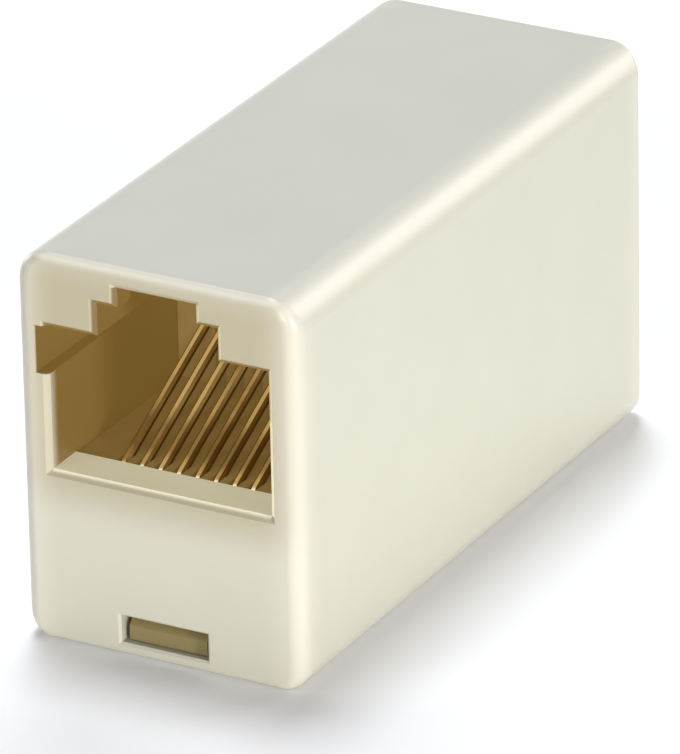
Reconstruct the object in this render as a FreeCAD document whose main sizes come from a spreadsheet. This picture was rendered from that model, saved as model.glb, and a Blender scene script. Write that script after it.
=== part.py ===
"""In-line coupler for two eight-way modular plugs, as a parametric FreeCAD document.

X runs across the coupler, Y along it and Z up. The origin is the centre of its underside,
and the front jack opens towards -Y. All sizes are millimetres.

Pieces: a one-piece housing with a jack mouth in each end, a snap-in base cover, a circuit
board that joins the two jacks pin to pin, two contact carriers and sixteen sprung contacts.
"""
import FreeCAD, Part

import math
import os

import Sketcher

SHEET = "Sizes"
CONTACTS = 8
SAME = 1e-6  # two lengths closer than this are the same

# Name, value and meaning of every driving dimension.
SIZES = [
    ("width", 15.4, "housing, across"),
    ("length", 36.0, "housing, mouth to mouth"),
    ("height", 20.4, "housing, underside to top"),
    ("top_radius", 1.7, "long top edges"),
    ("base_radius", 1.3, "long bottom edges"),
    ("corner_radius", 0.8, "upright edges of the end faces"),
    ("rim_radius", 0.38, "top and bottom edges of the end faces"),
    ("room_margin", 0.1, "compartment under the jacks, beyond each side of the plug bay"),
    ("end_wall", 1.4, "end walls below the mouths"),
    ("mouth_width", 12.0, "plug bay, across"),
    ("floor_level", 9.07, "underside to the plug bay floor"),
    ("mouth_height", 7.53, "plug bay, floor to ceiling"),
    ("latch_width", 6.6, "lower step of the latch opening"),
    ("latch_rise", 1.7, "bay ceiling to the lower step"),
    ("tongue_width", 4.3, "upper step of the latch opening"),
    ("tongue_rise", 1.0, "lower step to the upper step"),
    ("key_depth", 0.64, "key groove, into the side wall of the plug bay"),
    ("key_height", 2.5, "key groove, down from the bay ceiling"),
    ("frame_depth", 1.5, "end face to the latch stop"),
    ("jack_depth", 14.6, "end face to the back of the plug bay"),
    ("groove_end", 12.4, "end face to the end of the latch and key grooves"),
    ("lip_depth", 2.4, "end face to the back of the floor lip"),
    ("lip_thickness", 1.07, "floor lip"),
    ("mouth_chamfer", 0.28, "lead-in round the mouth"),
    ("web_wall", 1.7, "each wall of the hollow web between the jacks"),
    ("web_width", 10.0, "hollow of the web, across"),
    ("crown", 1.9, "housing above the hollow of the web"),
    ("window_width", 4.8, "snap window"),
    ("window_sill", 0.67, "underside to the snap window"),
    ("window_height", 1.43, "snap window"),
    ("window_chamfer", 0.12, "edge of the snap window"),
    ("fit_gap", 0.05, "between pieces that seat on each other"),
    ("cover_gap", 0.1, "joint round the base cover"),
    ("cover_thickness", 1.2, "base cover plate"),
    ("hook_gap", 0.25, "snap hook to each side of its window"),
    ("hook_height", 1.03, "snap hook, bottom to top"),
    ("hook_recess", 0.45, "end face to the tip of the snap hook"),
    ("hook_root", 1.2, "snap hook block along the plate"),
    ("hook_chamfer", 0.3, "lead-in on the snap hook"),
    ("rail_width", 0.9, "board rails of the base cover"),
    ("peg_spacing", 8.0, "locating pegs, centre to centre"),
    ("peg_radius", 0.65, "locating pegs"),
    ("peg_rise", 0.5, "locating pegs above the board"),
    ("peg_chamfer", 0.2, "tips of the locating pegs"),
    ("boss_radius", 1.3, "shoulders under the board"),
    ("board_level", 3.4, "underside to the underside of the board"),
    ("board_thickness", 1.0, "circuit board"),
    ("board_gap", 0.2, "board to the compartment walls"),
    ("board_corner", 0.6, "corners of the board"),
    ("hole_gap", 0.2, "board hole round a contact tail"),
    ("peg_gap", 0.1, "board hole round a peg"),
    ("carrier_bottom", 6.3, "underside to the body of a carrier"),
    ("skirt_width", 0.9, "carrier skirts that stand on the board"),
    ("carrier_foot", 0.8, "carrier foot under the web"),
    ("plate_drop", 0.07, "bay floor down to the carrier plate"),
    ("comb_depth", 12.4, "end face to the rear comb"),
    ("comb_height", 5.6, "carrier plate to the top of the rear comb"),
    ("comb_wall", 0.55, "back of the rear comb"),
    ("comb_chamfer", 0.6, "lead-in on top of the rear comb"),
    ("groove_depth", 0.32, "grooves in the carrier plate"),
    ("wire_width", 0.46, "contact wire, across its flats"),
    ("wire_bevel", 0.13, "edges of the contact wire"),
    ("wire_gap", 0.05, "contact wire to each side of its slot"),
    ("pitch", 1.02, "contact to contact"),
    ("contact_angle", 26.57, "rise of the contact arm, in degrees"),
    ("bend_radius", 0.6, "contact bends, to the middle of the wire"),
    ("bend_gap", 0.12, "floor lip to the contact bend"),
    ("leg_level", 7.7, "underside to the fixed leg of a contact"),
    ("tip_entry", 0.55, "contact tip into the rear comb"),
    ("near_row", 10.2, "end face to the nearer row of board holes"),
    ("row_spacing", 2.54, "between the two rows of board holes"),
    ("tail_length", 0.7, "contact tail below the board"),
]

doc = FreeCAD.newDocument("inline_coupler")
sheet = doc.addObject("Spreadsheet::Sheet", SHEET)
for row, (alias, number, meaning) in enumerate(SIZES, start=1):
    sheet.set(f"A{row}", meaning)
    sheet.set(f"B{row}", str(number))
    sheet.setAlias(f"B{row}", alias)
doc.recompute()

# Places that several pieces share, as expressions. A size in angle brackets is a cell.
FACE = "(-<length> / 2)"
CEILING = "(<floor_level> + <mouth_height>)"
LATCH_TOP = f"({CEILING} + <latch_rise>)"
TONGUE_TOP = f"({LATCH_TOP} + <tongue_rise>)"
LIP_UNDERSIDE = "(<floor_level> - <lip_thickness>)"
WINDOW_TOP = "(<window_sill> + <window_height>)"
INNER_HALF_WIDTH = "(<mouth_width> / 2 + <room_margin>)"
INNER_HALF_LENGTH = "(<length> / 2 - <end_wall>)"
COVER_HALF_WIDTH = f"({INNER_HALF_WIDTH} - <cover_gap>)"
BOARD_TOP = "(<board_level> + <board_thickness>)"
BOARD_HALF_WIDTH = f"({INNER_HALF_WIDTH} - <board_gap>)"
BOARD_HALF_LENGTH = f"({INNER_HALF_LENGTH} - <board_gap>)"
CARRIER_HALF_WIDTH = "(<mouth_width> / 2 - <fit_gap>)"
PLATE_TOP = "(<floor_level> - <plate_drop>)"
COMB_TOP = f"({PLATE_TOP} + <comb_height>)"
SLOT_HALF = "(<wire_width> / 2 + <wire_gap>)"
TAIL_LEVEL = "(<board_level> - <tail_length>)"


def behind_face(distance):
    """The Y of a place that lies this far behind the front face."""
    return f"({FACE} + {distance})"


BEND_Y = behind_face("<lip_depth> + <bend_gap> + <wire_width> / 2 + <bend_radius>")
BEND_Z = "(<leg_level> + <bend_radius>)"
TIP_Y = behind_face("<comb_depth> + <tip_entry>")


def bound(expression):
    """The expression with each size pointed at its cell."""
    return expression.replace("<", f"{SHEET}.").replace(">", "")


def value_of(expression):
    """The number that an expression gives."""
    result = sheet.evalExpression(bound(expression))
    return float(getattr(result, "Value", result))


def contact_across(index):
    return f"({index - (CONTACTS - 1) / 2} * <pitch>)"


def contact_row(index):
    """The Y of a contact's tail: neighbours alternate between two rows."""
    if index % 2:
        return behind_face("<near_row> + <row_spacing>")
    return behind_face("<near_row>")


def origin_item(body, role):
    return next(item for item in body.Origin.OriginFeatures if item.Role == role)


def new_sketch(body, name, role, offset="0"):
    """A sketch on one of the body's own origin planes, moved along its normal."""
    sketch = body.newObject("Sketcher::SketchObject", name)
    sketch.AttachmentSupport = [(origin_item(body, role), "")]
    sketch.MapMode = "FlatFace"
    sketch.setExpression("AttachmentOffset.Base.z", bound(offset))
    return sketch


def fix(sketch, kind, *where, to):
    """A dimension of the sketch, bound to an expression."""
    index = sketch.addConstraint(Sketcher.Constraint(kind, *where, value_of(to)))
    sketch.setExpression(f"Constraints[{index}]", bound(to))


def add_arc(sketch, start, end, radius, turn):
    """An arc of less than half a circle from start to end: turn is 1 for anticlockwise."""
    chord = end - start
    half = chord.Length / 2
    reach = math.sqrt(max(radius * radius - half * half, 0.0))
    sideways = FreeCAD.Vector(-chord.y, chord.x, 0).normalize()
    centre = start + chord * 0.5 + sideways * (turn * reach)
    first, last = (start, end) if turn > 0 else (end, start)
    angles = [math.atan2(place.y - centre.y, place.x - centre.x) for place in (first, last)]
    full = Part.Circle(centre, FreeCAD.Vector(0, 0, 1), radius)
    return sketch.addGeometry(Part.ArcOfCircle(full, *angles))


def trace(sketch, corners, arcs=None, closed=True):
    """Lines and arcs from corner to corner, with the place of each corner bound.

    arcs holds the radius and turn of each arc, by the number of the corner it starts from.
    """
    arcs = arcs or {}
    places = [FreeCAD.Vector(value_of(across), value_of(up), 0) for across, up in corners]
    count = len(corners)
    spans = count if closed else count - 1
    ends = []
    for index in range(spans):
        start, end = places[index], places[(index + 1) % count]
        if index in arcs:
            radius, turn = arcs[index]
            curve = add_arc(sketch, start, end, value_of(radius), turn)
            fix(sketch, "Radius", curve, to=radius)
            ends.append((curve, 1, 2) if turn > 0 else (curve, 2, 1))
        else:
            ends.append((sketch.addGeometry(Part.LineSegment(start, end)), 1, 2))
    for index in range(spans if closed else spans - 1):
        curve, _, last = ends[index]
        follower, first, _ = ends[(index + 1) % spans]
        sketch.addConstraint(Sketcher.Constraint("Coincident", curve, last, follower, first))
    for index, (across, up) in enumerate(corners):
        curve, point = ends[index][:2] if index < spans else ends[-1][::2]
        fix(sketch, "DistanceX", -1, 1, curve, point, to=across)
        fix(sketch, "DistanceY", -1, 1, curve, point, to=up)


def rectangle(sketch, left, right, low, high):
    trace(sketch, [(left, low), (right, low), (right, high), (left, high)])


def circle(sketch, across, up, radius):
    centre = FreeCAD.Vector(value_of(across), value_of(up), 0)
    curve = sketch.addGeometry(
        Part.Circle(centre, FreeCAD.Vector(0, 0, 1), value_of(radius)))
    fix(sketch, "Radius", curve, to=radius)
    fix(sketch, "DistanceX", -1, 1, curve, 3, to=across)
    fix(sketch, "DistanceY", -1, 1, curve, 3, to=up)


def bevelled_square(sketch, across, up, width, bevel):
    """A square with its four corners cut off."""
    half, flat = f"({width} / 2)", f"({width} / 2 - {bevel})"
    around = [
        (half, f"-{flat}"), (half, flat),
        (flat, half), (f"-{flat}", half),
        (f"-{half}", flat), (f"-{half}", f"-{flat}"),
        (f"-{flat}", f"-{half}"), (flat, f"-{half}"),
    ]
    trace(sketch, [(f"{across} + {right}", f"{up} + {rise}") for right, rise in around])


def volume(body):
    return 0.0 if body.Shape.isNull() else body.Shape.Volume


def check_volume(body, name, before, grows):
    """Stops if a feature that should add or cut material didn't."""
    change = volume(body) - before
    if (change > 0) != grows or change == 0:
        raise RuntimeError(f"{name} changes the volume of {body.Label} by {change:.4f}")


def extrude(body, kind, name, sketch, length, **settings):
    """A Pad or a Pocket of a sketch."""
    before = volume(body)
    feature = body.newObject(f"PartDesign::{kind}", name)
    feature.Profile = sketch
    for setting, value in settings.items():
        setattr(feature, setting, value)
    feature.setExpression("Length", bound(length))
    doc.recompute()
    check_volume(body, name, before, kind == "Pad")
    return feature


def repeat(body, kind, name, features, role, count, spread):
    """A pattern of features along or about one of the body's origin axes."""
    before = volume(body)
    pattern = body.newObject(f"PartDesign::{kind}", name)
    pattern.Originals = features
    axis = (origin_item(body, role), [""])
    if kind == "LinearPattern":
        pattern.Direction = axis
        pattern.setExpression("Length", bound(spread))
    else:
        pattern.Axis = axis
        pattern.Angle = spread
    pattern.Occurrences = count
    body.Tip = pattern
    doc.recompute()
    check_volume(body, name, before, features[0].TypeId == "PartDesign::Pad")
    return pattern


def at_both_ends(body, name, features):
    """The same features again, half a turn about the upright axis."""
    return repeat(body, "PolarPattern", name, features, "Z_Axis", 2, 360)


def dress(body, kind, name, amount, wanted):
    """A Fillet or a Chamfer on the edges whose bounding box passes a test."""
    base = body.Tip
    names = [
        f"Edge{number}"
        for number, edge in enumerate(base.Shape.Edges, start=1)
        if wanted(edge.BoundBox)
    ]
    feature = body.newObject(f"PartDesign::{kind}", name)
    feature.Base = (base, names)
    feature.setExpression("Radius" if kind == "Fillet" else "Size", bound(amount))
    body.Tip = feature
    doc.recompute()
    return feature


def same(first, second):
    return abs(first - second) < SAME


def new_body(label):
    body = doc.addObject("PartDesign::Body", label)
    body.Label = label
    return body


def turn_to_rear(body):
    """Places a piece at the rear jack, half a turn about the upright axis."""
    body.Placement = FreeCAD.Placement(
        FreeCAD.Vector(), FreeCAD.Rotation(FreeCAD.Vector(0, 0, 1), 180))


def build_housing_blank():
    """The housing's solid outer form, with all its outer edges rounded."""
    body = new_body("housing_blank")
    half = "<width> / 2"
    section = new_sketch(body, "blank_section", "XZ_Plane")
    trace(section, [
        (f"-{half} + <base_radius>", "0"),
        (f"{half} - <base_radius>", "0"),
        (half, "<base_radius>"),
        (half, "<height> - <top_radius>"),
        (f"{half} - <top_radius>", "<height>"),
        (f"-{half} + <top_radius>", "<height>"),
        (f"-{half}", "<height> - <top_radius>"),
        (f"-{half}", "<base_radius>"),
    ], arcs={
        1: ("<base_radius>", 1),
        3: ("<top_radius>", 1),
        5: ("<top_radius>", 1),
        7: ("<base_radius>", 1),
    })
    extrude(body, "Pad", "blank_block", section, "<length>", SideType="Symmetric")

    # The rim of each end face is one smooth loop: its radius is one value at the uprights
    # and another along the top and bottom, and changes from one to the other at the corners.
    upright, level = value_of("<corner_radius>"), value_of("<rim_radius>")
    radii = []
    for number, edge in enumerate(body.Shape.Edges, start=1):
        box = edge.BoundBox
        if not same(box.YLength, 0):
            continue
        if same(box.XLength, 0):
            radii.append((number, upright, upright))
        elif same(box.ZLength, 0):
            radii.append((number, level, level))
        elif same(abs(edge.valueAt(edge.FirstParameter).x), value_of(half)):
            radii.append((number, upright, level))
        else:
            radii.append((number, level, upright))
    rims = doc.addObject("Part::Fillet", "housing_rims")
    rims.Base = body
    rims.Edges = radii
    doc.recompute()
    return rims


def opening_corners(grow):
    """The stepped opening that plug and latch pass through, grown by a lead-in."""
    sides = [
        (f"<mouth_width> / 2 + {grow}", f"<floor_level> - {grow}"),
        (f"<mouth_width> / 2 + {grow}", f"{CEILING} + {grow}"),
        (f"<latch_width> / 2 + {grow}", f"{CEILING} + {grow}"),
        (f"<latch_width> / 2 + {grow}", f"{LATCH_TOP} + {grow}"),
        (f"<tongue_width> / 2 + {grow}", f"{LATCH_TOP} + {grow}"),
        (f"<tongue_width> / 2 + {grow}", f"{TONGUE_TOP} + {grow}"),
    ]
    return sides + [(f"-({across})", up) for across, up in reversed(sides)]


def build_housing():
    """The shell: a stepped mouth and plug bay in each end, and an open compartment below."""
    body = new_body("housing")
    body.BaseFeature = build_housing_blank()
    doc.recompute()

    room = new_sketch(body, "compartment_plan", "XY_Plane")
    rectangle(room, f"-{INNER_HALF_WIDTH}", INNER_HALF_WIDTH,
              f"-{INNER_HALF_LENGTH}", INNER_HALF_LENGTH)
    extrude(body, "Pocket", "compartment", room, LIP_UNDERSIDE, Reversed=True)

    web = new_sketch(body, "web_plan", "XY_Plane")
    web_half = "(<length> / 2 - <jack_depth> - <web_wall>)"
    rectangle(web, "-<web_width> / 2", "<web_width> / 2", f"-{web_half}", web_half)
    extrude(body, "Pocket", "web_hollow", web, "<height> - <crown>", Reversed=True)

    opening_outline = new_sketch(body, "opening_outline", "XZ_Plane", "<length> / 2")
    trace(opening_outline, opening_corners("0"))
    opening = extrude(body, "Pocket", "opening", opening_outline, "<frame_depth>")

    flare = new_sketch(body, "flare_outline", "XZ_Plane", "<length> / 2")
    trace(flare, opening_corners("<mouth_chamfer>"))
    throat = new_sketch(body, "throat_outline", "XZ_Plane", "<length> / 2 - <mouth_chamfer>")
    trace(throat, opening_corners("0"))
    lead_in = body.newObject("PartDesign::SubtractiveLoft", "mouth_lead_in")
    lead_in.Profile = flare
    lead_in.Sections = [throat]
    lead_in.Ruled = True
    doc.recompute()

    mouth_half, latch_half = "<mouth_width> / 2", "<latch_width> / 2"
    bay = new_sketch(body, "bay_section", "XZ_Plane", "<length> / 2")
    rectangle(bay, f"-{mouth_half}", mouth_half, "<floor_level>", CEILING)
    plug_bay = extrude(body, "Pocket", "plug_bay", bay, "<jack_depth>")

    # Behind the stop the latch springs up to the full height of the upper step.
    latch = new_sketch(body, "latch_section", "XZ_Plane", "<length> / 2 - <frame_depth>")
    rectangle(latch, f"-{latch_half}", latch_half, CEILING, TONGUE_TOP)
    latch_groove = extrude(
        body, "Pocket", "latch_groove", latch, "<groove_end> - <frame_depth>")

    key = new_sketch(body, "key_section", "XZ_Plane", "<length> / 2")
    rectangle(key, f"-{mouth_half} - <key_depth>", f"-{mouth_half}",
              f"{CEILING} - <key_height>", CEILING)
    key_groove = extrude(body, "Pocket", "key_groove", key, "<groove_end>")

    seat = new_sketch(body, "carrier_seat_plan", "XY_Plane", LIP_UNDERSIDE)
    rectangle(seat, f"-{mouth_half}", mouth_half,
              behind_face("<lip_depth>"), behind_face("<jack_depth>"))
    carrier_seat = extrude(
        body, "Pocket", "carrier_seat", seat, "<lip_thickness>", Reversed=True)

    sill = new_sketch(body, "window_outline", "XZ_Plane", "<length> / 2")
    rectangle(sill, "-<window_width> / 2", "<window_width> / 2", "<window_sill>", WINDOW_TOP)
    window = extrude(body, "Pocket", "snap_window", sill, "<end_wall>")

    at_both_ends(body, "rear_jack",
                 [opening, lead_in, plug_bay, latch_groove, key_groove, carrier_seat, window])

    half_length, window_top = value_of("<length> / 2"), value_of(WINDOW_TOP)
    window_reach = value_of("<window_width> / 2")
    dress(body, "Chamfer", "window_lead_in", "<window_chamfer>",
          lambda box: same(box.YLength, 0) and same(abs(box.YMin), half_length)
          and box.ZMax < window_top + SAME and box.XMax < window_reach + SAME
          and box.XMin > -window_reach - SAME)
    return body


def build_base_cover():
    """The plate that closes the compartment, with a snap hook at each end."""
    body = new_body("base_cover")
    cover_half_length = f"({INNER_HALF_LENGTH} - <cover_gap>)"
    plan = new_sketch(body, "plate_plan", "XY_Plane")
    rectangle(plan, f"-{COVER_HALF_WIDTH}", COVER_HALF_WIDTH,
              f"-{cover_half_length}", cover_half_length)
    extrude(body, "Pad", "plate", plan, "<cover_thickness>")

    board_seat = "<board_level> - <fit_gap> - <cover_thickness>"
    rails = new_sketch(body, "rail_plan", "XY_Plane", "<cover_thickness>")
    rail_inside = f"({COVER_HALF_WIDTH} - <rail_width>)"
    for left, right in ((rail_inside, COVER_HALF_WIDTH),
                        (f"-{COVER_HALF_WIDTH}", f"-{rail_inside}")):
        rectangle(rails, left, right, f"-{BOARD_HALF_LENGTH}", BOARD_HALF_LENGTH)
    extrude(body, "Pad", "board_rails", rails, board_seat)

    hook_bottom = "(<window_sill> + <fit_gap>)"
    hook_top = f"({hook_bottom} + <hook_height>)"
    side = new_sketch(body, "hook_side", "YZ_Plane")
    trace(side, [
        (behind_face("<hook_recess>"), hook_bottom),
        (f"-{cover_half_length} + <hook_root>", hook_bottom),
        (f"-{cover_half_length} + <hook_root>", hook_top),
        (behind_face("<hook_recess> + <hook_chamfer>"), hook_top),
        (behind_face("<hook_recess>"), f"{hook_top} - <hook_chamfer>"),
    ])
    hook = extrude(body, "Pad", "snap_hook", side,
                   "<window_width> - 2 * <hook_gap>", SideType="Symmetric")
    at_both_ends(body, "rear_hook", [hook])

    bosses = new_sketch(body, "boss_plan", "XY_Plane", "<cover_thickness>")
    pegs = new_sketch(body, "peg_plan", "XY_Plane", "<cover_thickness>")
    for across in ("-<peg_spacing> / 2", "<peg_spacing> / 2"):
        circle(bosses, across, "0", "<boss_radius>")
        circle(pegs, across, "0", "<peg_radius>")
    extrude(body, "Pad", "peg_bosses", bosses, board_seat)
    extrude(body, "Pad", "board_pegs", pegs,
            f"{BOARD_TOP} + <peg_rise> - <cover_thickness>")
    peg_top = value_of(f"{BOARD_TOP} + <peg_rise>")
    dress(body, "Chamfer", "peg_tips", "<peg_chamfer>",
          lambda box: same(box.ZMin, peg_top) and same(box.ZLength, 0))
    return body


def build_circuit_board():
    """The board, with two staggered rows of holes for the tails of each jack."""
    body = new_body("circuit_board")
    plan = new_sketch(body, "board_plan", "XY_Plane", "<board_level>")
    rectangle(plan, f"-{BOARD_HALF_WIDTH}", BOARD_HALF_WIDTH,
              f"-{BOARD_HALF_LENGTH}", BOARD_HALF_LENGTH)
    extrude(body, "Pad", "board", plan, "<board_thickness>")
    dress(body, "Fillet", "board_corners", "<board_corner>",
          lambda box: same(box.XLength, 0) and same(box.YLength, 0))

    pegs = new_sketch(body, "peg_holes_plan", "XY_Plane", BOARD_TOP)
    for across in ("-<peg_spacing> / 2", "<peg_spacing> / 2"):
        circle(pegs, across, "0", "<peg_radius> + <peg_gap>")
    extrude(body, "Pocket", "peg_holes", pegs, "<board_thickness>")

    tails = new_sketch(body, "tail_holes_plan", "XY_Plane", BOARD_TOP)
    for index in range(CONTACTS):
        circle(tails, contact_across(index), contact_row(index), "<wire_width> / 2 + <hole_gap>")
    holes = extrude(body, "Pocket", "tail_holes", tails, "<board_thickness>")
    at_both_ends(body, "rear_tail_holes", [holes])
    return body


def build_carrier(label):
    """The block that holds one jack's contacts: nose, grooved plate and rear comb."""
    body = new_body(label)
    front = behind_face("<end_wall> + <fit_gap>")
    nose = behind_face("<lip_depth> + <fit_gap>")
    comb_front = behind_face("<comb_depth>")
    back = behind_face("<jack_depth> - <fit_gap>")
    foot_end = behind_face("<jack_depth> + <carrier_foot>")
    shoulder = f"{LIP_UNDERSIDE} - <fit_gap>"
    board_seat = f"({BOARD_TOP} + <fit_gap>)"
    side = new_sketch(body, "carrier_side", "YZ_Plane")
    trace(side, [
        (front, board_seat),
        (foot_end, board_seat),
        (foot_end, shoulder),
        (back, shoulder),
        (back, COMB_TOP),
        (f"{comb_front} + <comb_chamfer>", COMB_TOP),
        (comb_front, f"{COMB_TOP} - <comb_chamfer>"),
        (comb_front, PLATE_TOP),
        (nose, PLATE_TOP),
        (nose, shoulder),
        (front, shoulder),
    ])
    extrude(body, "Pad", "carrier_block", side, f"2 * {CARRIER_HALF_WIDTH}",
            SideType="Symmetric")

    # The block is hollow below, so that it stands on the board on two skirts.
    hollow = new_sketch(body, "skirt_section", "XZ_Plane", f"-{front}")
    skirt_inside = f"({CARRIER_HALF_WIDTH} - <skirt_width>)"
    rectangle(hollow, f"-{skirt_inside}", skirt_inside, board_seat, "<carrier_bottom>")
    extrude(body, "Pocket", "hollow_between_skirts", hollow, f"{foot_end} - {front}")

    # One channel per contact follows the wire: down through the block at the back, along
    # under the plate, round the nose, and up into the comb. Neighbours end in two rows.
    nose_radius = f"(<bend_radius> - {SLOT_HALF})"
    groove_floor = f"({PLATE_TOP} - <groove_depth>)"
    nose_top_y = f"({BEND_Y} - {nose_radius} * sin(<contact_angle>))"
    nose_top_z = f"({BEND_Z} + {nose_radius} * cos(<contact_angle>))"
    ramp_end = f"{nose_top_y} + ({groove_floor} - {nose_top_z}) / tan(<contact_angle>)"
    above = f"{COMB_TOP} + <comb_height>"
    slot_back = behind_face("<jack_depth> - <fit_gap> - <comb_wall>")
    for index, name in ((0, "near"), (1, "far")):
        row_y = contact_row(index)
        channel = new_sketch(body, f"{name}_channel", "YZ_Plane", contact_across(index))
        trace(channel, [
            (behind_face("<lip_depth>"), above),
            (behind_face("<lip_depth>"), f"<leg_level> - {SLOT_HALF}"),
            (f"{row_y} - <bend_radius>", f"<leg_level> - {SLOT_HALF}"),
            (f"{row_y} - <bend_radius>", board_seat),
            (f"{row_y} + {SLOT_HALF}", board_seat),
            (f"{row_y} + {SLOT_HALF}", f"<leg_level> + {SLOT_HALF}"),
            (BEND_Y, f"<leg_level> + {SLOT_HALF}"),
            (nose_top_y, nose_top_z),
            (ramp_end, groove_floor),
            (slot_back, groove_floor),
            (slot_back, above),
        ], arcs={6: (nose_radius, -1)})
        cut = extrude(body, "Pocket", f"{name}_slot", channel, f"2 * {SLOT_HALF}",
                      SideType="Symmetric")
        repeat(body, "LinearPattern", f"{name}_slots", [cut], "X_Axis",
               CONTACTS // 2, f"{CONTACTS - 2} * <pitch>")
    return body


def build_contact(label, index):
    """One sprung wire: tail, fixed leg, bend round the nose, and rising arm."""
    body = new_body(label)
    across, row_y = contact_across(index), contact_row(index)
    tangent_y = f"({BEND_Y} - <bend_radius> * sin(<contact_angle>))"
    tangent_z = f"({BEND_Z} + <bend_radius> * cos(<contact_angle>))"
    tip_z = f"{tangent_z} + ({TIP_Y} - {tangent_y}) * tan(<contact_angle>)"
    path = new_sketch(body, f"{label}_path", "YZ_Plane", across)
    trace(path, [
        (row_y, TAIL_LEVEL),
        (row_y, "<leg_level> - <bend_radius>"),
        (f"{row_y} - <bend_radius>", "<leg_level>"),
        (BEND_Y, "<leg_level>"),
        (tangent_y, tangent_z),
        (TIP_Y, tip_z),
    ], arcs={1: ("<bend_radius>", 1), 3: ("<bend_radius>", -1)}, closed=False)
    section = new_sketch(body, f"{label}_section", "XY_Plane", TAIL_LEVEL)
    bevelled_square(section, across, row_y, "<wire_width>", "<wire_bevel>")
    wire = body.newObject("PartDesign::AdditivePipe", f"{label}_wire")
    wire.Profile = section
    wire.Spine = (path, [])
    doc.recompute()
    return body


def build_coupler():
    """Every piece of the coupler in its place."""
    pieces = [build_housing(), build_base_cover(), build_circuit_board()]
    for end in ("front", "rear"):
        placed = [build_carrier(f"{end}_carrier")]
        for index in range(CONTACTS):
            placed.append(build_contact(f"{end}_contact_{index + 1}", index))
        if end == "rear":
            for piece in placed:
                turn_to_rear(piece)
        pieces += placed
    doc.recompute()
    return pieces


def check(pieces):
    """Stops if any object failed, or if a piece isn't one valid solid."""
    for item in doc.Objects:
        if {"Invalid", "Error"} & set(item.State):
            raise RuntimeError(f"{item.Name} did not build: {item.State}")
    for piece in pieces:
        shape = piece.Shape
        if shape.isNull() or not shape.isValid() or len(shape.Solids) != 1:
            raise RuntimeError(f"{piece.Label} is not one valid solid")


coupler = build_coupler()
check(coupler)
os.makedirs("parts", exist_ok=True)
for piece in coupler:
    piece.Shape.exportStep(f"parts/{piece.Label}.step")
print(f"{len(coupler)} pieces written")
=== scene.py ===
"""Finishes, light and camera for the in-line coupler.

The moulded pieces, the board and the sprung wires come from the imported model. This script
gives each of them its finish and sets the coupler on a plain white floor.
"""

import math

import bpy
from mathutils import Matrix, Vector


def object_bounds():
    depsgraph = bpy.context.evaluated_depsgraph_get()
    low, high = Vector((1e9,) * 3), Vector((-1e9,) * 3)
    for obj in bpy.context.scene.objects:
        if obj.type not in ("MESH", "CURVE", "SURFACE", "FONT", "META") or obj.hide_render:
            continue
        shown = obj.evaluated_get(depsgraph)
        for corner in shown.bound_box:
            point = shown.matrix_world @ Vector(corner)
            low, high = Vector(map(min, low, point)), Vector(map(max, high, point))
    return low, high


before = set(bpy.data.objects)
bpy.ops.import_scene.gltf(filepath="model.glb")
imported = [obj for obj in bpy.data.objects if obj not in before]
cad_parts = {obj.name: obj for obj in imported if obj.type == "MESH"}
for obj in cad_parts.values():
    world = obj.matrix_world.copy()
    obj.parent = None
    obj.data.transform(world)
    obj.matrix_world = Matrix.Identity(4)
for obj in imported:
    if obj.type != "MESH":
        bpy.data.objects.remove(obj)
cad_low, cad_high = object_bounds()

MM = 0.001
HALF_WIDTH = cad_high.x
HALF_LENGTH = cad_high.y
HEIGHT = cad_high.z

# Where the jacks and the snap windows lie: heights above the underside, and half widths.
BAY_HALF_WIDTH = 6.9 * MM
BAY_FLOOR = 9.12 * MM
BAY_TOP = 19.35 * MM
SEAT_FLOOR = 7.9 * MM
CARRIER_FOOT = 4.0 * MM
MOUTH_HALF_WIDTH = 6.0 * MM
MOUTH_TOP = 18.8 * MM
KEY_FOOT = 14.05 * MM
LIP_FOOT = 8.9 * MM
WINDOW_HALF_WIDTH = 2.5 * MM
WINDOW_FOOT = 0.3 * MM
WINDOW_TOP = 2.2 * MM

# Depths behind an end face at which the plastic's painted shade, highlights and glow start,
# are full, and end. The jacks' painted shade has no end, because it would lie past the
# coupler's middle.
JACK_STARTS, JACK_FULL, JACK_ENDS = 0.05 * MM, 0.9 * MM, 20.0 * MM
STEPS_START, STEPS_FULL = 0.0, 0.14 * MM
LIP_STARTS, LIP_FULL, LIP_DEPTH = 0.1 * MM, 0.3 * MM, 2.42 * MM
RIM_STARTS, RIM_FULL, RIM_DEPTH, RIM_WIDTH = -0.02 * MM, 0.0, 0.27 * MM, 0.35 * MM
SHELL_WINDOW_FULL, COVER_WINDOW_FULL = 1.2 * MM, 0.4 * MM

# Depths between which the wires turn to painted shade, and then to painted highlight again.
WIRE_SHADE_STARTS, WIRE_SHADE_FULL = 3.1 * MM, 3.9 * MM
WIRE_LIGHT_STARTS, WIRE_LIGHT_FULL = 5.0 * MM, 6.4 * MM

IVORY_LIGHT = (0.580, 0.575, 0.490, 1)
IVORY_DARK = (0.555, 0.550, 0.465, 1)
# Painted highlight along the shell's outer edges.
IVORY_EDGE_HIGHLIGHT = (0.745, 0.715, 0.630, 1)
# Painted warm shade round the mouths.
IVORY_WARM_SHADE = (0.450, 0.407, 0.287, 1)
# Painted light on the lips of the mouths.
IVORY_LIP_HIGHLIGHT = (0.800, 0.740, 0.560, 1)
# Painted shade inside the jacks and on the key steps.
IVORY_HOLLOW_SHADE = (0.085, 0.058, 0.022, 1)
IVORY_SHADE = (0.235, 0.190, 0.078, 1)
# The carrier's tones, darkened as painted shade.
NYLON_SHADE_LIGHT = (0.260, 0.180, 0.070, 1)
NYLON_SHADE_DARK = (0.180, 0.120, 0.045, 1)
GOLD_BRIGHT = (1.00, 0.84, 0.52, 1)
GOLD_DULL = (0.88, 0.68, 0.36, 1)
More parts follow.
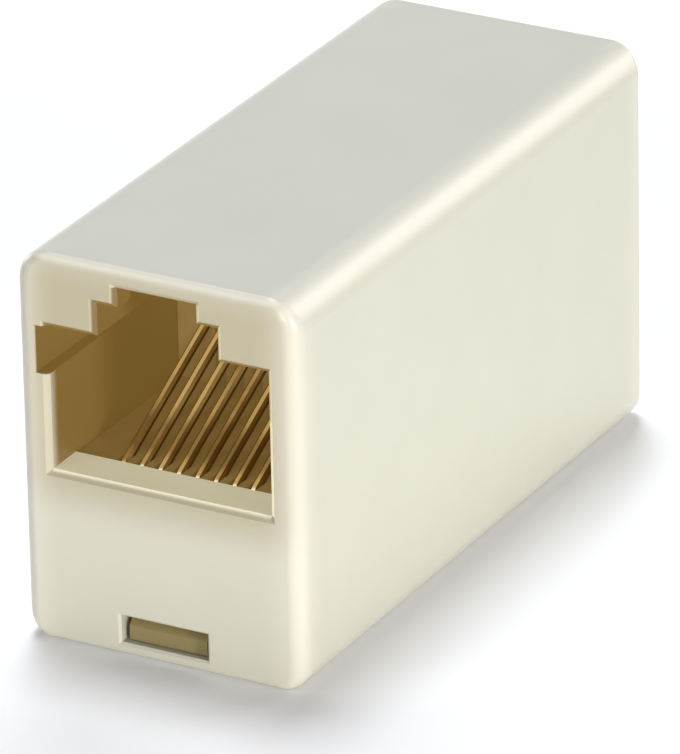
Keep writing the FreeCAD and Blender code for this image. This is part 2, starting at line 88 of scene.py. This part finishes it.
# Painted shade on the wires between their bends and their upper arms.
GOLD_SHADE = (0.50, 0.37, 0.18, 1)
# Painted shade on the wires' flanks.
GOLD_FLANK_SHADE = (0.27, 0.18, 0.07, 1)
MASK_GREEN = (0.020, 0.120, 0.040, 1)
MASK_DARK = (0.012, 0.070, 0.026, 1)

# Painted glow that the plastic gives out, by where it shows.
IVORY_GLOW = (0.125, 0.073, 0.013, 1)
# Painted glow on the ceilings, which the wires show as a painted reflection.
CEILING_GLOW = (0.540, 0.435, 0.250, 1)
# Painted light on the lips.
LIP_GLOW = (0.230, 0.245, 0.195, 1)
# Painted highlight on the mouths' rims.
RIM_HIGHLIGHT_GLOW = (0.520, 0.470, 0.330, 1)
NYLON_GLOW = (0.100, 0.062, 0.016, 1)

BLACK = (0, 0, 0, 1)
WHITE = (1, 1, 1, 1)
MID_GREY = (0.5, 0.5, 0.5, 1)

FLOAT = "NodeSocketFloat"
COLOUR = "NodeSocketColor"
NOISE_MIDDLE = 0.5


# ---------------------------------------------------------------- node helpers

def feed(tree, given, socket):
    """Gives a socket what another one puts out, or a plain number or colour."""
    if isinstance(given, bpy.types.NodeSocket):
        tree.links.new(given, socket)
    else:
        socket.default_value = given


def add_node(tree, kind, place, inputs=None, **settings):
    """A node at a place in the tree, with its settings made and its inputs fed."""
    node = tree.nodes.new(kind)
    node.location = place
    for name, value in settings.items():
        setattr(node, name, value)
    for name, given in (inputs or {}).items():
        feed(tree, given, node.inputs[name])
    return node


def reckon(tree, operation, place, *values, **settings):
    """What a maths node makes of sockets and plain numbers."""
    node = add_node(tree, "ShaderNodeMath", place, inputs=dict(enumerate(values)),
                    operation=operation, **settings)
    return node.outputs[0]


def product(tree, first, *others):
    """The product of several values, as a chain of nodes."""
    for level, other in enumerate(others):
        first = reckon(tree, "MULTIPLY", (400, -150 * level), first, other)
    return first


def ramp(tree, place, value, start, end, rises=True, smooth=True):
    """0 to 1 while a value goes from start to end, or 1 to 0 where it doesn't rise."""
    node = add_node(
        tree, "ShaderNodeMapRange", place,
        interpolation_type="SMOOTHSTEP" if smooth else "LINEAR",
        inputs={"Value": value, "From Min": start, "From Max": end,
                "To Min": 0.0 if rises else 1.0, "To Max": 1.0 if rises else 0.0})
    return node.outputs["Result"]


def mix_colours(tree, factor, first, second, place):
    """A blend of two colours, each a socket or a plain colour."""
    blend = add_node(tree, "ShaderNodeMix", place, data_type="RGBA", inputs={
        "Factor": factor, "A": first, "B": second})
    return blend.outputs["Result"]


def split_vector(tree, source, place):
    """The X, Y and Z of a vector."""
    parts = add_node(tree, "ShaderNodeSeparateXYZ", place, inputs={"Vector": source})
    return parts.outputs


def surface_facing(tree, place):
    """The X, Y and Z of the direction that the surface faces."""
    surface = add_node(tree, "ShaderNodeNewGeometry", place)
    return split_vector(tree, surface.outputs["Normal"], (place[0] + 150, place[1]))


def object_place(tree, place):
    """The point's place in the object's own space."""
    return add_node(tree, "ShaderNodeTexCoord", place).outputs["Object"]


def distances(tree):
    """The point's distance to each side of the middle, its distance along, and its height."""
    parts = split_vector(tree, object_place(tree, (-700, -200)), (-550, -200))
    across = reckon(tree, "ABSOLUTE", (-400, 0), parts["X"])
    along = reckon(tree, "ABSOLUTE", (-400, -150), parts["Y"])
    return across, along, parts["Z"]


def new_group(name, inputs, outputs):
    """A shader node group with named sockets: the group, what it is given, what it gives."""
    group = bpy.data.node_groups.new(name, "ShaderNodeTree")
    for label, (kind, value) in inputs.items():
        socket = group.interface.new_socket(label, in_out="INPUT", socket_type=kind)
        socket.default_value = value
    for label, kind in outputs.items():
        group.interface.new_socket(label, in_out="OUTPUT", socket_type=kind)
    given = add_node(group, "NodeGroupInput", (-900, 0)).outputs
    result = add_node(group, "NodeGroupOutput", (900, 0)).inputs
    return group, given, result


def place_group(tree, group, place, **values):
    """A copy of a shared effect in a material, with its own values by socket name."""
    return add_node(tree, "ShaderNodeGroup", place, node_tree=group, inputs={
        name.replace("_", " "): value for name, value in values.items()})


# ---------------------------------------------------------------- shared effects

def make_tone_drift():
    """Colour that wanders between two tones in soft patches, as moulded plastic does."""
    group, given, result = new_group("Tone Drift", {
        "Light Tone": (COLOUR, WHITE),
        "Dark Tone": (COLOUR, MID_GREY),
        "Patches per Metre": (FLOAT, 300.0),
        "Contrast": (FLOAT, 0.5),
    }, {"Tone": COLOUR})
    broad = add_node(group, "ShaderNodeTexNoise", (-400, 100), inputs={
        "Vector": object_place(group, (-600, -200)), "Scale": given["Patches per Metre"],
        "Detail": 4.0, "Roughness": 0.55})
    centred = reckon(group, "SUBTRACT", (-200, 100), broad.outputs["Fac"], NOISE_MIDDLE)
    spread = reckon(group, "MULTIPLY_ADD", (0, 100), centred, given["Contrast"],
                    NOISE_MIDDLE, use_clamp=True)
    tone = mix_colours(group, spread, given["Dark Tone"], given["Light Tone"], (300, 100))
    feed(group, tone, result["Tone"])
    return group


def make_moulded_grain():
    """Height of a spark-eroded mould's grain, with slow waves where the plastic sank."""
    group, given, result = new_group("Moulded Grain", {
        "Grains per Metre": (FLOAT, 9000.0),
        "Waves per Metre": (FLOAT, 250.0),
        "Wave Share": (FLOAT, 0.5),
    }, {"Height": FLOAT, "Roughness Shift": FLOAT})
    point = object_place(group, (-600, -200))
    grain = add_node(group, "ShaderNodeTexNoise", (-400, 200), inputs={
        "Vector": point, "Scale": given["Grains per Metre"], "Detail": 2.0})
    wave = add_node(group, "ShaderNodeTexNoise", (-400, -100), inputs={
        "Vector": point, "Scale": given["Waves per Metre"], "Detail": 1.0})
    joined = add_node(group, "ShaderNodeMix", (0, 100), data_type="FLOAT", inputs={
        "Factor": given["Wave Share"], "A": grain.outputs["Fac"], "B": wave.outputs["Fac"]})
    feed(group, joined.outputs["Result"], result["Height"])
    shift = reckon(group, "SUBTRACT", (0, -150), wave.outputs["Fac"], NOISE_MIDDLE)
    feed(group, shift, result["Roughness Shift"])
    return group


def make_hollow_depth():
    """How deep a point lies in a hollow of the end faces: 0 at the face, 1 at full depth.

    Ceiling is the same, but only where the surface faces down.
    """
    group, given, result = new_group("Hollow Depth", {
        "Half Length": (FLOAT, HALF_LENGTH),
        "Half Width": (FLOAT, BAY_HALF_WIDTH),
        "Low": (FLOAT, SEAT_FLOOR),
        "High": (FLOAT, BAY_TOP),
        "Starts At": (FLOAT, JACK_STARTS),
        "Full At": (FLOAT, JACK_FULL),
        "Ends At": (FLOAT, JACK_ENDS),
    }, {"Depth": FLOAT, "Ceiling": FLOAT})
    across, along, up = distances(group)
    behind = reckon(group, "SUBTRACT", (-150, 100), given["Half Length"], along)
    reached = ramp(group, (100, 100), behind, given["Starts At"], given["Full At"])
    within = reckon(group, "LESS_THAN", (100, -150), across, given["Half Width"])
    above = reckon(group, "GREATER_THAN", (100, -300), up, given["Low"])
    below = reckon(group, "LESS_THAN", (100, -450), up, given["High"])
    before = reckon(group, "LESS_THAN", (100, -600), behind, given["Ends At"])
    depth = product(group, reached, within, above, below, before)
    feed(group, depth, result["Depth"])
    flattest_wall = -0.7
    down = reckon(group, "LESS_THAN", (200, -800),
                  surface_facing(group, (-100, -800))["Z"], flattest_wall)
    feed(group, reckon(group, "MULTIPLY", (600, -300), depth, down), result["Ceiling"])
    return group


def make_mouth_shade():
    """How near a point of an end face lies to its mouth, where a darker, warmer colour is
    painted on as shade.
    """
    group, given, result = new_group("Mouth Warm Shade", {
        "Half Length": (FLOAT, HALF_LENGTH),
        "Half Width": (FLOAT, MOUTH_HALF_WIDTH),
        "Low": (FLOAT, BAY_FLOOR),
        "High": (FLOAT, MOUTH_TOP),
        "Reach": (FLOAT, 2.8 * MM),
        "Skin": (FLOAT, 0.7 * MM),
    }, {"Warm Shade": FLOAT})
    across, along, up = distances(group)
    beyond = []
    for outer, inner, level in ((across, given["Half Width"], 300), (given["Low"], up, 150),
                                (up, given["High"], 0)):
        gap = reckon(group, "SUBTRACT", (-200, level), outer, inner)
        beyond.append(reckon(group, "MAXIMUM", (-50, level), gap, 0.0))
    away = add_node(group, "ShaderNodeCombineXYZ", (100, 200),
                    inputs=dict(zip("XYZ", beyond)))
    distance = add_node(group, "ShaderNodeVectorMath", (250, 200), operation="LENGTH",
                        inputs={0: away.outputs[0]})
    near = ramp(group, (400, 200), distance.outputs["Value"], 0.0, given["Reach"],
                rises=False)
    behind = reckon(group, "SUBTRACT", (-50, -300), given["Half Length"], along)
    skin = ramp(group, (150, -300), behind, 0.0, given["Skin"], rises=False, smooth=False)
    feed(group, product(group, near, skin), result["Warm Shade"])
    return group


def make_edge_highlight():
    """How near a point lies to the shell's outer edges, where a paler colour is painted on as
    a highlight.
    """
    group, given, result = new_group("Edge Highlight", {
        "Half Width": (FLOAT, HALF_WIDTH),
        "Half Length": (FLOAT, HALF_LENGTH),
        "Top": (FLOAT, HEIGHT),
        "Long Reach": (FLOAT, 1.6 * MM),
        "Upright Reach": (FLOAT, 2.4 * MM),
        "End Reach": (FLOAT, 0.5 * MM),
        "Upright Share": (FLOAT, 0.42),
    }, {"Highlight": FLOAT})
    across, along, up = distances(group)
    side = reckon(group, "SUBTRACT", (-200, 300), given["Half Width"], across)
    end = reckon(group, "SUBTRACT", (-200, 150), given["Half Length"], along)
    top = reckon(group, "SUBTRACT", (-200, 0), given["Top"], up)
    fades = []
    for first, second, reach, level in ((side, top, "Long Reach", 300),
                                        (side, end, "Upright Reach", 100),
                                        (end, top, "End Reach", -100)):
        farther = reckon(group, "MAXIMUM", (0, level), first, second)
        fades.append(ramp(group, (150, level), farther, 0.0, given[reach], rises=False))
    long_edges, uprights, end_edges = fades
    uprights = product(group, uprights, given["Upright Share"])
    most = reckon(group, "MAXIMUM", (550, 100), long_edges, uprights)
    feed(group, reckon(group, "MAXIMUM", (700, 0), most, end_edges), result["Highlight"])
    return group


TONE_DRIFT = make_tone_drift()
MOULDED_GRAIN = make_moulded_grain()
HOLLOW_DEPTH = make_hollow_depth()
MOUTH_SHADE = make_mouth_shade()
EDGE_HIGHLIGHT = make_edge_highlight()


# ---------------------------------------------------------------- finishes

def new_finish(name):
    """A new material, its node tree and its Principled shader."""
    material = bpy.data.materials.new(name)
    material.use_nodes = True
    tree = material.node_tree
    return material, tree, tree.nodes["Principled BSDF"]


def vary_roughness(tree, shader, grain, share, level):
    """Gloss that is uneven by a share of the slow waves round its usual level."""
    rough = reckon(tree, "MULTIPLY_ADD", (-250, -200), grain.outputs["Roughness Shift"],
                   share, level)
    feed(tree, rough, shader.inputs["Roughness"])


def mould_surface(tree, shader, roughness):
    """Fine grain, slow sink waves and uneven gloss for a moulded piece."""
    grain = place_group(tree, MOULDED_GRAIN, (-700, -550))
    bump = add_node(tree, "ShaderNodeBump", (-250, -450), inputs={
        "Strength": 0.35, "Distance": 0.013 * MM, "Height": grain.outputs["Height"]})
    feed(tree, bump.outputs["Normal"], shader.inputs["Normal"])
    vary_roughness(tree, shader, grain, share=0.08, level=roughness)
    shader.inputs["IOR"].default_value = 1.5


def paint_glow(tree, shader, glow):
    """Painted glow, so that the jacks' insides aren't black."""
    feed(tree, glow, shader.inputs["Emission Color"])
    shader.inputs["Emission Strength"].default_value = 1.0


def ivory_tone(tree):
    """The ivory of the outer moulding, which drifts a little from place to place."""
    return place_group(
        tree, TONE_DRIFT, (-1000, 300), Light_Tone=IVORY_LIGHT, Dark_Tone=IVORY_DARK,
        Patches_per_Metre=260.0, Contrast=1.4).outputs["Tone"]


def window_depth(tree, full):
    """How deep a point lies in a snap window, 1 from the depth where it is full."""
    return place_group(
        tree, HOLLOW_DEPTH, (-1000, -300), Half_Width=WINDOW_HALF_WIDTH, Low=WINDOW_FOOT,
        High=WINDOW_TOP, Full_At=full).outputs["Depth"]


def painted_rim_highlight(tree):
    """A painted highlight on the lead-in along one upright side of each mouth."""
    rim = place_group(
        tree, HOLLOW_DEPTH, (-1000, -900), Half_Width=MOUTH_HALF_WIDTH + RIM_WIDTH,
        Low=BAY_FLOOR, Starts_At=RIM_STARTS, Full_At=RIM_FULL, Ends_At=RIM_DEPTH)
    facing = surface_facing(tree, (-1000, -1150))
    slant = product(tree, facing["X"], facing["Y"])
    least_slant = 0.3
    slanted = reckon(tree, "GREATER_THAN", (-550, -1150), slant, least_slant)
    return product(tree, rim.outputs["Depth"], slanted)


def ivory_plastic(name):
    """The shell's plastic, with painted warm shade round the mouths, painted highlights along
    its edges and on the lips, painted shade in the windows and inside the jacks, and painted
    glow inside.
    """
    material, tree, shader = new_finish(name)
    mouth_shade = place_group(tree, MOUTH_SHADE, (-1000, 100)).outputs["Warm Shade"]
    painted_edge_light = place_group(tree, EDGE_HIGHLIGHT, (-1000, 500)).outputs["Highlight"]
    jack = place_group(tree, HOLLOW_DEPTH, (-1000, -100))
    # Painted shade on the key steps.
    steps = place_group(tree, HOLLOW_DEPTH, (-1000, -700), Low=KEY_FOOT,
                        Starts_At=STEPS_START, Full_At=STEPS_FULL)
    inside = reckon(tree, "MAXIMUM", (-750, -100), jack.outputs["Depth"],
                    steps.outputs["Depth"])
    lip = place_group(
        tree, HOLLOW_DEPTH, (-1000, -500), Half_Width=MOUTH_HALF_WIDTH, Low=LIP_FOOT,
        High=BAY_FLOOR, Starts_At=LIP_STARTS, Full_At=LIP_FULL,
        Ends_At=LIP_DEPTH).outputs["Depth"]

    # Painted warm shade round the mouths.
    tint = mix_colours(tree, mouth_shade, ivory_tone(tree), IVORY_WARM_SHADE, (-700, 300))
    # Painted highlight along the outer edges.
    tint = mix_colours(tree, painted_edge_light, tint, IVORY_EDGE_HIGHLIGHT, (-600, 250))
    # Painted shade in the snap windows.
    tint = mix_colours(tree, window_depth(tree, SHELL_WINDOW_FULL), tint, IVORY_SHADE,
                       (-500, 200))
    # Painted shade inside the jacks.
    tint = mix_colours(tree, inside, tint, IVORY_HOLLOW_SHADE, (-400, 100))
    # Painted light on the lips.
    tint = mix_colours(tree, lip, tint, IVORY_LIP_HIGHLIGHT, (-300, 200))
    feed(tree, tint, shader.inputs["Base Color"])

    # Painted glow: most on the jack's ceiling, which the wires show as a painted reflection,
    # and less on its walls.
    glow = mix_colours(tree, inside, BLACK, IVORY_GLOW, (-500, -50))
    glow = mix_colours(tree, jack.outputs["Ceiling"], glow, CEILING_GLOW, (-400, -50))
    # Painted light on the lip.
    glow = mix_colours(tree, lip, glow, LIP_GLOW, (-350, -200))
    # Painted highlight on the mouths' rims.
    glow = mix_colours(tree, painted_rim_highlight(tree), glow, RIM_HIGHLIGHT_GLOW, (-250, -50))
    paint_glow(tree, shader, glow)
    mould_surface(tree, shader, roughness=0.36)
    return material


def inner_plastic(name, light, dark):
    """A plastic that only shows inside the jacks, with tones darkened as painted shade and a
    painted glow.
    """
    material, tree, shader = new_finish(name)
    tone = place_group(tree, TONE_DRIFT, (-1000, 300), Light_Tone=light,
                       Dark_Tone=dark, Patches_per_Metre=500.0, Contrast=1.4)
    feed(tree, tone.outputs["Tone"], shader.inputs["Base Color"])
    jack = place_group(tree, HOLLOW_DEPTH, (-1000, -100), Low=CARRIER_FOOT)
    paint_glow(tree, shader, mix_colours(
        tree, jack.outputs["Depth"], BLACK, NYLON_GLOW, (-300, -50)))
    mould_surface(tree, shader, roughness=0.45)
    return material


def cover_plastic(name):
    """The base cover's plastic, with painted shade where its hooks show in the snap windows.
    """
    material, tree, shader = new_finish(name)
    tint = mix_colours(tree, window_depth(tree, COVER_WINDOW_FULL), ivory_tone(tree),
                       IVORY_SHADE, (-300, 200))
    feed(tree, tint, shader.inputs["Base Color"])
    mould_surface(tree, shader, roughness=0.36)
    return material


def gold_plate(name):
    """Gold plated spring wire, with painted highlights at its bends and upper arms, and
    painted shade between them and on its flanks.
    """
    material, tree, shader = new_finish(name)
    tone = place_group(
        tree, TONE_DRIFT, (-600, 300), Light_Tone=GOLD_BRIGHT, Dark_Tone=GOLD_DULL,
        Patches_per_Metre=900.0, Contrast=1.5).outputs["Tone"]
    shaded_span = place_group(tree, HOLLOW_DEPTH, (-1000, 500), Low=0.0,
                           Starts_At=WIRE_SHADE_STARTS, Full_At=WIRE_SHADE_FULL)
    lit_span = place_group(tree, HOLLOW_DEPTH, (-1000, 300), Low=0.0,
                         Starts_At=WIRE_LIGHT_STARTS, Full_At=WIRE_LIGHT_FULL)
    # Painted shade between the bends and the upper arms, and painted highlight beyond.
    tint = mix_colours(tree, shaded_span.outputs["Depth"], tone, GOLD_SHADE, (-450, 500))
    tint = mix_colours(tree, lit_span.outputs["Depth"], tint, tone, (-450, 300))
    sideways = reckon(tree, "ABSOLUTE", (-700, 100),
                      surface_facing(tree, (-1000, 100))["X"])
    flank_starts, flank_full = 0.3, 0.9
    flank = ramp(tree, (-500, 100), sideways, flank_starts, flank_full, smooth=False)
    # Painted shade on the flanks.
    tint = mix_colours(tree, flank, tint, GOLD_FLANK_SHADE, (-300, 200))
    feed(tree, tint, shader.inputs["Base Color"])
    shader.inputs["Metallic"].default_value = 1.0
    grain = place_group(tree, MOULDED_GRAIN, (-600, -200), Waves_per_Metre=1500.0)
    vary_roughness(tree, shader, grain, share=0.2, level=0.24)
    return material


def solder_mask(name):
    """Green solder mask over glass laminate."""
    material, tree, shader = new_finish(name)
    tone = place_group(tree, TONE_DRIFT, (-600, 300), Light_Tone=MASK_GREEN,
                       Dark_Tone=MASK_DARK, Patches_per_Metre=1200.0)
    feed(tree, tone.outputs["Tone"], shader.inputs["Base Color"])
    shader.inputs["Roughness"].default_value = 0.35
    return material


def dress(node, material):
    """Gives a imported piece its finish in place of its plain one."""
    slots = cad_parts[node].data.materials
    slots.clear()
    slots.append(material)


ivory = ivory_plastic("ivory_shell")
cover = cover_plastic("ivory_cover")
nylon = inner_plastic("nylon_painted_shade", NYLON_SHADE_LIGHT, NYLON_SHADE_DARK)
gold = gold_plate("gold_wire")
laminate = solder_mask("board_mask")

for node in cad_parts:
    if "contact" in node:
        dress(node, gold)
    elif "carrier" in node:
        dress(node, nylon)
    elif node == "circuit_board":
        dress(node, laminate)
    elif node == "base_cover":
        dress(node, cover)
    else:
        dress(node, ivory)


# ---------------------------------------------------------------- floor and light

FLOOR_RADIUS = 0.16
FLOOR_SIDES = 96
FLOOR_LEVEL = -0.01 * MM
FLOOR_LIFT = 0.06
FLOOR_TINT = (0.95, 1.00, 1.40, 1)
WORLD_LEVEL = 0.06
COOL = (0.955, 1.0, 1.06)
WARM = (1.0, 0.965, 0.92)


def seen_as_background(tree, place):
    """1 for the rays that show a background, so that it can be white and give no light."""
    path = add_node(tree, "ShaderNodeLightPath", (place[0] - 600, place[1]))
    shown = path.outputs["Is Camera Ray"]
    for level, ray in enumerate(("Is Glossy Ray", "Is Transmission Ray")):
        shown = reckon(tree, "MAXIMUM", (place[0] - 400 + 200 * level, place[1]),
                       shown, path.outputs[ray])
    return shown


def lay_floor():
    """A round white floor that keeps the coupler's shadow and ends in the white studio."""
    turns = [2 * math.pi * side / FLOOR_SIDES for side in range(FLOOR_SIDES)]
    rim = [(FLOOR_RADIUS * math.cos(turn), FLOOR_RADIUS * math.sin(turn), FLOOR_LEVEL)
           for turn in turns]
    mesh = bpy.data.meshes.new("floor")
    mesh.from_pydata(rim, [], [tuple(range(FLOOR_SIDES))])
    floor = bpy.data.objects.new("floor", mesh)
    bpy.context.scene.collection.objects.link(floor)
    material, tree, shader = new_finish("white_floor")
    shader.inputs["Base Color"].default_value = WHITE
    shader.inputs["Roughness"].default_value = 0.9
    shader.inputs["Specular IOR Level"].default_value = 0.0
    shader.inputs["Emission Color"].default_value = FLOOR_TINT
    lift = reckon(tree, "MULTIPLY", (-200, -300),
                  seen_as_background(tree, (-400, -300)), FLOOR_LIFT)
    feed(tree, lift, shader.inputs["Emission Strength"])
    mesh.materials.append(material)


def hang_world():
    """White where it is seen, and a soft even light elsewhere."""
    world = bpy.data.worlds.new("studio")
    bpy.context.scene.world = world
    world.use_nodes = True
    tree = world.node_tree
    back = tree.nodes["Background"]
    back.inputs["Color"].default_value = WHITE
    level = add_node(tree, "ShaderNodeMapRange", (-200, 0), inputs={
        "Value": seen_as_background(tree, (-400, 0)),
        "To Min": WORLD_LEVEL, "To Max": 1.0})
    feed(tree, level.outputs["Result"], back.inputs["Strength"])


def hang_lamp(name, turn, rise, spread, strength, tint, away=0.6):
    """A round soft lamp, turned from the front towards +X and raised, aimed at the coupler.

    Angles are in degrees. spread is the angle that the lamp fills, strength is the light
    on a surface that faces it, and away is its distance in metres.
    """
    turn, rise = math.radians(turn), math.radians(rise)
    towards = Vector((math.sin(turn) * math.cos(rise), -math.cos(turn) * math.cos(rise),
                      math.sin(rise)))
    radius = away * math.tan(math.radians(spread) / 2)
    lamp = bpy.data.lights.new(name, "AREA")
    lamp.shape = "DISK"
    lamp.size = 2 * radius
    lamp.color = tint
    # A round lamp of power P makes a white face that is turned to it P / (pi * away) ** 2
    # bright, whatever the lamp's size.
    lamp.energy = strength * math.pi * math.pi * away * away
    hung = bpy.data.objects.new(name, lamp)
    hung.location = Vector((0, 0, HEIGHT / 2)) + towards * away
    hung.rotation_euler = towards.to_track_quat("Z", "Y").to_euler()
    hung.visible_camera = False
    bpy.context.scene.collection.objects.link(hung)


def set_camera():
    """A long lens from the front right, a little above. Angles are in radians."""
    stand = (0.1893, -0.3397, 0.1853)
    turn, down, roll = 0.5085, 0.4281, -0.0204
    camera = bpy.data.cameras.new("camera")
    camera.sensor_width = 36.0
    camera.lens = 413.2
    camera.clip_start = 0.01
    camera.clip_end = 20.0
    held = bpy.data.objects.new("camera", camera)
    held.matrix_world = (
        Matrix.Translation(stand)
        @ Matrix.Rotation(turn, 4, "Z")
        @ Matrix.Rotation(math.pi / 2 - down, 4, "X")
        @ Matrix.Rotation(roll, 4, "Z"))
    bpy.context.scene.collection.objects.link(held)
    bpy.context.scene.camera = held


lay_floor()
hang_world()
hang_lamp("top_lamp", turn=-139, rise=78, spread=16, strength=0.50, tint=COOL)
hang_lamp("back_lamp", turn=-150, rise=50, spread=20, strength=0.25, tint=COOL)
hang_lamp("rim_lamp", turn=152, rise=18, spread=34, strength=0.30, tint=WARM)
hang_lamp("right_lamp", turn=64, rise=2, spread=10, strength=0.72, tint=WARM, away=0.35)
hang_lamp("front_lamp", turn=15, rise=4, spread=14, strength=0.45, tint=WARM)
hang_lamp("edge_lamp", turn=-38, rise=33, spread=26, strength=0.11, tint=WARM)
hang_lamp("left_lamp", turn=-108, rise=6, spread=20, strength=0.20, tint=WARM)
set_camera()
bpy.context.scene.view_settings.view_transform = "Standard"
